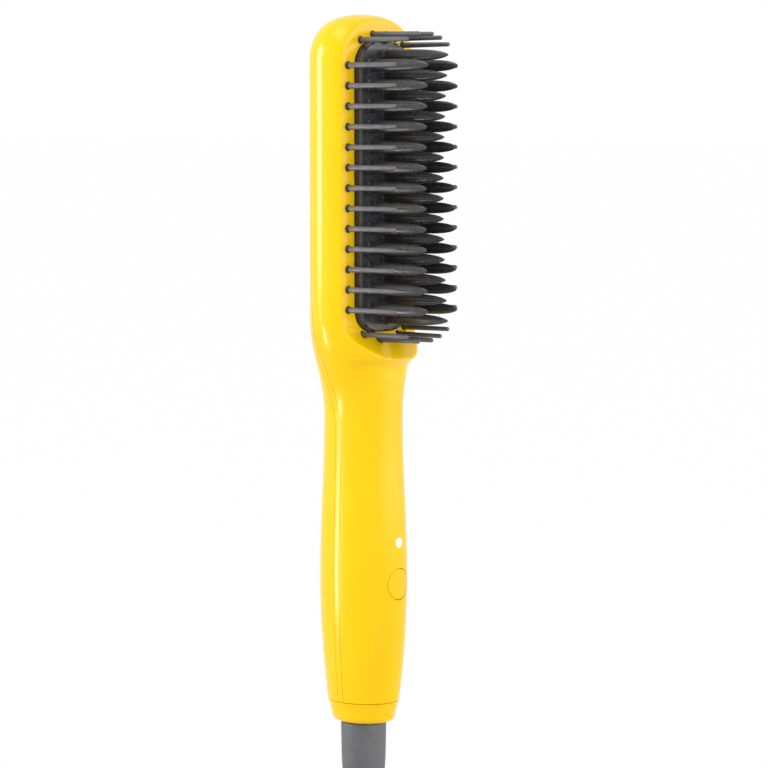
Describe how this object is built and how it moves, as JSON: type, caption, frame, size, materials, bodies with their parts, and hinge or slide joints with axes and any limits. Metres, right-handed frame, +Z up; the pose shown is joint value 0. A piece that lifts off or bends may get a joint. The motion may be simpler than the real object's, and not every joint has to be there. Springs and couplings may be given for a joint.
{
  "type": "heated straightening brush",
  "caption": "Hand-held electric hair brush with rows of heated blades, a ring of cool pins, a press button and a swivelling cord boot.",
  "frame": {"origin": "on the handle's axis at its lower end, where a hand or a holder takes the handle", "axes": "+Z runs up the handle to the head, -Y is where the blades point, +X is the brush's own left"},
  "size_m": [0.049, 0.0596, 0.3123],
  "materials": {
    "housing_plastic": "glossy moulded ABS",
    "coated_casting": "satin ceramic coating on die-cast aluminium",
    "silicone": "matt",
    "pin_plastic": "satin heat-proof nylon",
    "screw_steel": "zinc plated",
    "ceramic": "fired ceramic",
    "electrode_aluminium": "rolled",
    "polyimide_film": "clear amber film",
    "fuse_casing": "drawn",
    "sensor_epoxy": "cast epoxy",
    "mica": "pressed mica",
    "wire_silicone": "silicone sleeve",
    "circuit_board": "solder mask",
    "black_plastic": "moulded",
    "capacitor_case": "moulded case",
    "led_resin": "cast resin",
    "light_guide_plastic": "milky acrylic",
    "nylon": "moulded nylon",
    "ring_brass": "drawn",
    "boot_rubber": "satin moulded rubber"
  },
  "bodies": {
    "brush": {"front_housing": "housing_plastic", "rear_housing": "housing_plastic", "end_cap": "housing_plastic", "comb_plate": "coated_casting", "comb_blades": "coated_casting", "plate_gasket": "silicone", "pin_carrier": "pin_plastic", "cool_pins": "pin_plastic", "carrier_screws": "screw_steel", "ptc_stones": "ceramic", "electrodes": "electrode_aluminium", "insulation_sleeve": "polyimide_film", "heater_clamp": "electrode_aluminium", "clamp_screws": "screw_steel", "thermal_fuse": "fuse_casing", "temperature_sensor": "sensor_epoxy", "heat_shield": "mica", "heater_leads": "wire_silicone", "sensor_leads": "wire_silicone", "control_board": "circuit_board", "board_screws": "screw_steel", "switch_body": "black_plastic", "triac": "black_plastic", "film_capacitor": "capacitor_case", "control_chip": "black_plastic", "status_led": "led_resin", "light_guide": "light_guide_plastic", "swivel_socket": "nylon", "swivel_retainer": "nylon", "contact_strips": "ring_brass", "supply_leads": "wire_silicone"},
    "button": {"power_button": "housing_plastic"},
    "plunger": {"switch_plunger": "black_plastic"},
    "swivel": {"swivel_spindle": "nylon", "slip_rings": "ring_brass", "cord_boot": "boot_rubber"}
  },
  "joints": [
    {"name": "button_press", "type": "slide", "parent": "brush", "child": "button", "axis": [0, 1, 0], "range_m": [0, 0.0006], "stiffness_N_per_m": 2500},
    {"name": "plunger_press", "type": "slide", "parent": "brush", "child": "plunger", "axis": [0, 1, 0], "range_m": [0, 0.0006]},
    {"name": "cord_swivel", "type": "hinge", "parent": "brush", "child": "swivel", "pos_m": [0, 0, 0], "axis": [0, 0, 1], "continuous": true}
  ],
  "couplings": [
    {"joint": "plunger_press", "follows": "button_press", "ratio": 1}
  ]
}
